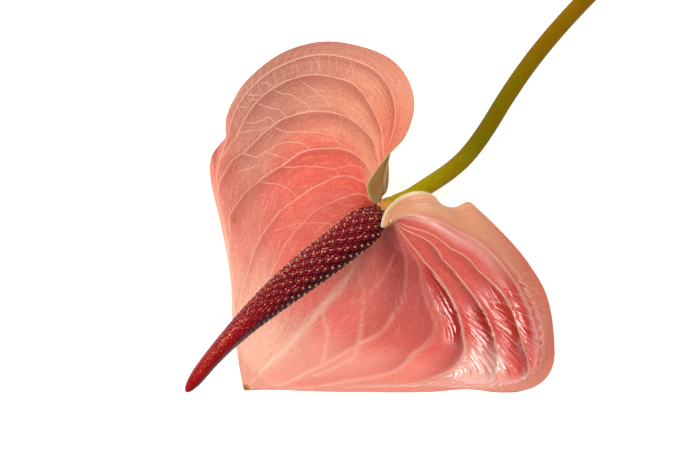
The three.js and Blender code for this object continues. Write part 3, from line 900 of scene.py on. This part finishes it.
def ring_faces(rings, sides, inside_out=False):
    first, last, faces = rings * sides, (rings - 1) * sides, []
    for j in range(sides):
        k = (j + 1) % sides
        faces += [(i + j, i + sides + j, i + sides + k, i + k) for i in range(0, last, sides)]
        faces += [(first, j, k), (first + 1, last + k, last + j)]
    return [(face[0], *face[:0:-1]) for face in faces] if inside_out else faces


# %% Core of the spadix
SPADIX_PATH = rows_of(
    "-2.8 0.1 2, -7 0.6 4.4, -18.5 1.8 10, -31.5 3.2 15.6, -45 3.9 20.6, -57 3.4 25, -67 1.9 28.3")
SPADIX_R = 4.75
CORE_RINGS, CORE_SIDES = 140, 56
# direction of the spadix flank that gets painted shade
SHADED_FLANK = np.array([-0.05, -0.75, -0.66])


def spadix_radius(along):
    base = 0.62 + 0.38 * smooth(along, 0, 0.1)
    taper = 1 - 0.52 * smooth(along, 0.25, 1) - 0.1 * along
    tip = np.sqrt(np.maximum(0.0, 1 - np.maximum(0, (along - 0.9) / 0.1) ** 2))
    return SPADIX_R * base * taper * tip


def painted_flank_shade_of(outward):
    return smooth(outward @ SHADED_FLANK, -0.45, 0.35)


spadix_line = path_through(SPADIX_PATH)
core_along = 1 - np.linspace(1, 0, CORE_RINGS + 1)[:-1] ** 1.3
centre, ahead, across, over = turning_frames(spadix_line, core_along)
turns = np.arange(CORE_SIDES) * 2 * math.pi / CORE_SIDES
core_radius = spadix_radius(core_along) * (1 - 0.05 * fade(core_along, 0.5, 0.8))
out = across[:, None] * np.cos(turns)[None, :, None] + over[:, None] * np.sin(turns)[None, :, None]
core_points = (centre[:, None] + out * core_radius[:, None, None]).reshape(-1, 3)
spadix_core = mesh_object("spadix_core", np.vstack([core_points, centre[:1], spadix_line[-1:]]),
                          ring_faces(CORE_RINGS, CORE_SIDES))
store(spadix_core, along=[*np.repeat(core_along, CORE_SIDES), 0, 1], flank=[*painted_flank_shade_of(out).ravel(), 0, 0])
print("core:", len(spadix_core.data.vertices), "points, widest", round(2 * core_radius.max(), 2), "mm")

# %% [markdown]
# ## One floret and one stigma
# Each floret is a small diamond of four fleshy tepals round a stigma. One tepal is a low
# cushion over a quarter of the diamond, so the floret has 48 faces, and a few hundred copies
# stay light. The stigma is a separate dome, because it is pale and dry while the tepals shine.

# %% Floret and stigma shapes, as shares of a floret's width
HALF_WIDE, HALF_LONG = 0.5, 0.82
STIGMA_WIDE, STIGMA_LONG = 0.105, 0.115


def dome_over(outline, low, high, inner=0.62):
    outline = np.array(outline, dtype=float)
    heart = outline.mean(axis=0)
    count = len(outline)
    middle = heart + (outline - heart) * inner
    points = [(*spot, low) for spot in outline] + [(*spot, low + (high - low) * 0.78) for spot in middle]
    faces = [(k, (k + 1) % count, count + (k + 1) % count, count + k) for k in range(count)]
    faces += [(count + k, count + (k + 1) % count, 2 * count) for k in range(count)]
    return [*points, (*heart, high)], faces


def oval(long, wide, corners):
    turns = np.arange(corners) * 2 * math.pi / corners
    return np.column_stack([long * np.cos(turns), wide * np.sin(turns)])


floret_points, floret_faces = [], []
for long_side, wide_side in ((1, 1), (-1, 1), (-1, -1), (1, -1)):
    far, near = np.diag([long_side * HALF_LONG, wide_side * HALF_WIDE])
    corners = [0 * far, far / 2, far, (far + near) / 2, near, near / 2]
    points, faces = dome_over(corners[::long_side * wide_side], -0.12, 0.13)
    floret_faces += [tuple(k + len(floret_points) for k in face) for face in faces]
    floret_points += points
unit_floret = mesh_object("unit_floret", floret_points, floret_faces, at=0)
unit_stigma = mesh_object(
    "unit_stigma", *dome_over(oval(STIGMA_LONG, STIGMA_WIDE, 8), 0.04, 0.27, 0.7), at=0)
print("floret faces:", len(floret_faces), "stigma faces:", len(unit_stigma.data.polygons))

# %% [markdown]
# ## The floret lattice
# Florets open in spirals. Rows are spaced by the local radius, so the diamonds keep their
# shape as the spike tapers, and every second row is shifted by half a floret. Past the middle
# the florets sink into the skin, and past two thirds there are no ripe stigmas.

# %% Lattice points
FLORETS_ROUND = 12
ROW_SHARE = 0.82
SPIRAL = 0.08
LAST_STIGMA = 0.72
SUNK = 0.02
FIRST_ROW, LAST_ROW, LEAST_R = 0.012, 0.985, 1.2
spadix_long = float(distances(spadix_line)[-1])
rows, along = [], FIRST_ROW
while along < LAST_ROW:
    rows.append(along)
    wide = 2 * math.pi * max(float(spadix_radius(np.array(along))), LEAST_R) / FLORETS_ROUND
    along += ROW_SHARE * wide / spadix_long
row_of = np.repeat(np.arange(len(rows)), FLORETS_ROUND)
seat_along = np.array(rows)[row_of]
seat_turn = np.tile(np.arange(FLORETS_ROUND), len(rows)) + row_of * (0.5 + SPIRAL)
seat_turn = (seat_turn * 2 * math.pi / FLORETS_ROUND)[:, None]
seat_centre, seat_ahead, seat_across, seat_over = turning_frames(spadix_line, seat_along)
seat_out = seat_across * np.cos(seat_turn) + seat_over * np.sin(seat_turn)
seat_radius = spadix_radius(seat_along)
seat_wide = 2 * math.pi * seat_radius / FLORETS_ROUND
seat_tall = seat_wide * (1 - 0.8 * smooth(seat_along, 0.42, 0.8))
stigma_wide = seat_wide * (0.35 + 0.65 * fade(seat_along, 0.5, LAST_STIGMA))


def seats(name, at, chosen=slice(None), **values):
    points = mesh_object(name, at[chosen], [])
    store(points, **{label: rows[chosen] for label, rows in values.items()})
    return points


on_spadix = {"outward": seat_out, "forward": seat_ahead, "along": seat_along, "flank": painted_flank_shade_of(seat_out)}
floret_seats = seats("floret_seats", seat_centre + seat_out * (seat_radius - SUNK)[:, None],
                     size=np.column_stack([seat_wide, seat_wide, seat_tall]), **on_spadix)
stigma_seats = seats("stigma_seats", seat_centre + seat_out * seat_radius[:, None],
                     chosen=seat_along < LAST_STIGMA,
                     size=np.column_stack([stigma_wide, stigma_wide, seat_tall]), **on_spadix)
print("florets:", len(floret_seats.data.vertices), "stigmas:", len(stigma_seats.data.vertices))

# %% [markdown]
# ## Spadix finishes and growth
# The tepals are dark crimson and waxy, with painted shade that darkens the flank facing down.
# The ripe stigmas are dry and tan. The bare tip is smoother and a brighter red. The colour
# follows the same along value in all of them, and small beads of 0.4 mm break up the shine.

# %% Grow the spadix
# Crimson tepals are small waxed cushions, each with a bright point; the core between them is
# nearly black at the base and as red as the tepals at the tip.
TEPAL, CORE_SKIN = (
    make_finish(
        name, near, rough=rough, IOR=1.45, Specular_IOR_Level=0.3, soft=(0.12, (1.0, 0.15, 0.1), 0.0006),
        patterns={"patches": (900.0, 3.0), "beads": (2400.0, 1.0)},
        layers=[("along", (0.42, 0.92), tip), ("patches", (0.3, 0.75, 0.0, 0.5), groove),
                # painted shade: the flank that faces down darkens toward near black
                ("flank", (0.0, 1.0, 0.0, 0.75), "#1E0008")],
        bumps=[("patches", 0.1, 0.0001), ("beads", 0.7, 0.00014)])
    for name, near, tip, rough, groove in (
        ("waxy_crimson_tepals", "#820C1E", "#A00A0C", 0.16, "#500612"),
        ("spadix_core_skin", "#36020A", "#A80C0C", 0.3, "#480410")))

# A ripe stigma is a dry, slightly fuzzy knob, so it is rough and has no wax shine.
STIGMA = make_finish(
    "dry_stigma_tissue", "#C49468", rough=0.6, IOR=1.4, patterns={"patches": (700.0, 2.0)},
    layers=[("along", (0.45, 0.7), "#8C2A2A"), ("patches", (0.35, 0.7, 0.0, 0.6), "#A86A58")])
spadix_core.data.materials.append(CORE_SKIN)
florets = grow("spadix_florets", floret_seats, SCATTER, shape=unit_floret, size=1.0, size_spread=0.05,
               seed=3, finish=TEPAL)
stigmas = grow("spadix_stigmas", stigma_seats, SCATTER, shape=unit_stigma, size=1.0, size_spread=0.12,
               seed=5, finish=STIGMA)

# %% [markdown]
# ## The stem
# The stem, or peduncle, is a long bare stalk. It is swept by the same node tree as the veins,
# with fine ribs round its profile, and it lies flat on the floor where it rests. A short stipe
# joins it to the spadix, and a slight swelling fills the collar of the spathe.

# %% Sweep the stem
STIPE_R = 1.8
SWELLING = 0.33
STEM_RIBS, STEM_RIB = 14.0, 0.022
stem_line = path_through(STEM_PATH)
stem_share = np.linspace(0, 1, 320)
stem_at = stem_share * distances(stem_line)[-1]
stem_radius = STIPE_R + (STEM_R - STIPE_R) * smooth(stem_at, 0, 4) + SWELLING * near_by(stem_at, 3.4, 1.3)
stem_source = mesh_object("stem_line", along_path(stem_line, stem_share), [],
                          [(k, k + 1) for k in range(len(stem_share) - 1)])
store(stem_source, thick=stem_radius, along=stem_at)

# A cut flower stem: green, fleshy and faintly ribbed, browner toward the cut and orange on the
# short stipe. Its wax is thinner than the spathe's, so the shine is broader.
STEM_SKIN = make_finish(
    "ribbed_stem_skin", "#AC9A00", rough=0.5, IOR=1.4, Specular_IOR_Level=0.04,
    soft=(0.08, (0.6, 1.0, 0.1), 0.0006),
    patterns={"streaks": (1500.0, 3.0, (0.12, 1.0, 1.0)), "blotches": (90.0, 3.0)},
    layers=[
        ("along", (8.0, 40.0), "#746200"), ("along", (42.0, 90.0), "#865A00"),
        ("streaks", (0.35, 0.7, 0.0, 0.35), "#5E6000"), ("blotches", (0.5, 0.75, 0.0, 0.3), "#844E00"),
        ("along", (1.5, 4.5, 1.0, 0.0), "#E0A050")],
    bumps=[("streaks", 0.3, 0.0001)])
stem = grow("stem_stalk", stem_source, SWEEP, corners=84, thickness=MM, ribs=STEM_RIBS, rib_height=STEM_RIB,
            finish=STEM_SKIN)
print("stem length:", round(float(stem_at[-1])), "mm")

# %% [markdown]
# ## The cut end
# A florist's cut shows what a stem of this family is made of: a green rind, a pale pith and
# many separate vessels scattered through it. The face is a thin closed lens that covers the
# end of the stalk, and the same node tree that sets the florets sets the vessels on it.

# %% Cut face and vessels
CUT_RINGS = [0.3, 0.55, 0.75, 0.88, 0.95, 0.985]
CUT_SIDES = 48
VESSELS = 64
cut_at, cut_ahead, cut_across, cut_over = (
    value[0] for value in turning_frames(stem_line, np.array([1.0])))


def on_cut(share, turn, out):
    around = cut_across * np.cos(turn)[:, None] + cut_over * np.sin(turn)[:, None]
    return keep_above(cut_at + around * (share * STEM_R)[:, None] + cut_ahead * out[:, None], 0.04)


cut_turn = np.tile(np.arange(CUT_SIDES) * 2 * math.pi / CUT_SIDES, len(CUT_RINGS))
cut_share = np.repeat(CUT_RINGS, CUT_SIDES)
cut_out = 0.16 - 0.1 * cut_share ** 4 + 0.02 * np.sin(3 * cut_turn + 5 * cut_share)
cut_points = np.vstack([on_cut(cut_share, cut_turn, cut_out),
                        on_cut(np.zeros(2), np.zeros(2), np.array([0.17, -0.2]))])
cut_face = mesh_object("stem_cut_face", cut_points, ring_faces(len(CUT_RINGS), CUT_SIDES, inside_out=True))
store(cut_face, share=[*cut_share, 0, 1])
vessel_rng = np.random.default_rng(11)
vessel_share = np.sqrt(vessel_rng.uniform(0.0, 0.72, VESSELS))
vessel_turn = np.arange(VESSELS) * 2.4 + vessel_rng.uniform(-0.3, 0.3, VESSELS)
each = np.ones((VESSELS, 3))
vessel_seats = seats("vessel_seats", on_cut(vessel_share, vessel_turn, 0.15 - 0.1 * vessel_share ** 4),
                     outward=each * cut_ahead, forward=each * cut_over, size=each)
unit_vessel = mesh_object("unit_vessel", *dome_over(oval(0.11, 0.09, 6), -0.03, 0.05), at=0)

# %% Finishes of the cut
# Fresh cut pith: wet, pale green cells of 0.2 mm that dry to tan, with a darker green rind.
PITH = make_finish(
    "fresh_cut_pith", "#C3CC84", rough=0.32, IOR=1.38, soft=(0.2, (0.8, 1.0, 0.4), 0.0008),
    patterns={"cells": (5000.0, "F1"), "patches": (700.0, 2.0)},
    layers=[("patches", (0.35, 0.7), "#C9AE72"), ("share", (0.78, 0.94), "#6F7A16")],
    bumps=[("cells", 0.4, 0.0001)])

# Vessels are bundles of woody tubes, so they are browner and duller than the wet pith.
VESSEL_WOOD = make_finish(
    "vessel_wood", "#8A7A3A", rough=0.6, IOR=1.45, patterns={"patches": (3000.0, 2.0)},
    layers=[("patches", (0.3, 0.7), "#6E5A28")])
cut_face.data.materials.append(PITH)
vessels = grow("stem_vessels", vessel_seats, SCATTER, shape=unit_vessel, size=1.0, size_spread=0.3, seed=9,
               finish=VESSEL_WOOD)
for shape in (unit_floret, unit_stigma, unit_vessel):
    bpy.data.objects.remove(shape)

# %% [markdown]
# ## Camera, light and floor
# The flower lies on a pale table and the camera looks straight down on it. A bright, even
# surround keeps the shadows weak, and one large soft light from the left models the folds,
# with a weak fill across from it. These act on colour alone. Five lights act on gloss alone,
# each on the pieces that it names, so the sheen of the blade, the streaks on its right lobe,
# the rolled lip and the glints of the spadix can each be placed on their own.

# %% Floor and camera
HALF_FLOOR = 1500
TABLE_LEVEL = -0.3
# Opal acrylic over a lit table: even, pale and without shine, with a faint glow.
OPAL = make_finish(
    "opal_light_table", "#FAFAFA", rough=0.9, patterns={"patches": (30.0, 2.0)},
    layers=[("patches", None, "#F4F4F3")], Emission_Color=(1, 1, 1, 1), Emission_Strength=0.6)
corners = [(x * HALF_FLOOR, y * HALF_FLOOR, 0) for x, y in ((-1, -1), (1, -1), (1, 1), (-1, 1))]
table = mesh_object("table", corners, [(0, 1, 2, 3)], at=(0, 0, TABLE_LEVEL))
table.data.materials.append(OPAL)

lens = bpy.data.cameras.new("camera")
lens.lens = 99.9
lens.clip_end = 10
camera = new_object("camera", lens)
camera.location = (-0.09143, 0.0081, 0.525)
camera.rotation_euler = (0, 0, math.radians(-44))
bpy.context.scene.camera = camera

# %% Lights: what each acts on, place, width and height in metres, watts, colour, pieces
AIM = Vector((-0.085, 0.0, 0.02))
LIGHTS = {
    "key": ("diffuse", (-0.66, 0.35, 0.88), 0.6, 0.6, 8.4, "#FFFFFF", []),
    "upper_right_fill": ("diffuse", (0.69, 0.084, 0.52), 0.5, 0.5, 2.5, "#FFFFFF", []),
    "sheen": ("gloss", (-0.79, -0.594, 0.465), 0.45, 0.5, 16.0, "#FFEAE6", [blade]),
    "high_sheen": ("gloss", (-0.624, -0.145, 0.85), 0.35, 0.35, 6.0, "#FFE4D4", [blade]),
    "lip_gloss": ("gloss", (0.72, 0.37, 0.58), 0.35, 0.35, 7.5, "#FFF0DC", [blade]),
    "glints": ("gloss", (0.53, 0.6, 0.49), 0.26, 0.26, 44.0, "#FFB090", [spadix_core, florets, stigmas]),
    "wide_gloss": ("gloss", (-0.3, 0.5, 0.9), 0.8, 0.8, 1.0, "#FFFFFF", [blade, upper_veins, stem]),
}
for name, (acts_on, place, width, height, watts, tint, reaches) in LIGHTS.items():
    lamp = bpy.data.lights.new(name, "AREA")
    lamp.shape = "RECTANGLE"
    lamp.size, lamp.size_y, lamp.energy, lamp.color = width, height, watts, linear(tint)[:3]
    light = new_object(name, lamp)
    light.location = place
    light.rotation_euler = (AIM - Vector(place)).to_track_quat("-Z", "Y").to_euler()
    light.visible_diffuse, light.visible_glossy = acts_on == "diffuse", acts_on == "gloss"
    if reaches:
        light.light_linking.receiver_collection = bpy.data.collections.new(name + "_reaches")
    for piece in reaches:
        light.light_linking.receiver_collection.objects.link(piece)
print("lights:", [(name, row[0]) for name, row in LIGHTS.items()])

# %% Surround, kept out of reflections so that the wax mirrors the lights alone
world = bpy.data.worlds.new("studio")
world.use_nodes = True
fill(world.node_tree, world.node_tree.nodes["Background"], {"Color": (1, 1, 1, 1), "Strength": 0.6})
bpy.context.scene.world = world
world.cycles_visibility.glossy = False
bpy.context.scene.view_settings.view_transform = "Standard"
print("surround:", world.name, "camera height:", camera.location.z, "m")

# %% [markdown]
# ## Attaching the pieces
# Each piece is attached to the root body, grouped under the plain solid of the frame that it
# stands for, and that plain solid is hidden.

# %% Bodies, and the plain solids hidden
PIECES = {
    "spathe": [blade, upper_veins, under_veins],
    "spadix": [spadix_core, florets, stigmas],
    "stem": [stem, cut_face, vessels],
}
for node, pieces in PIECES.items():
    for piece in pieces:
        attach(piece, "root")
    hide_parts(node)
print("pieces:", sum(len(pieces) for pieces in PIECES.values()))
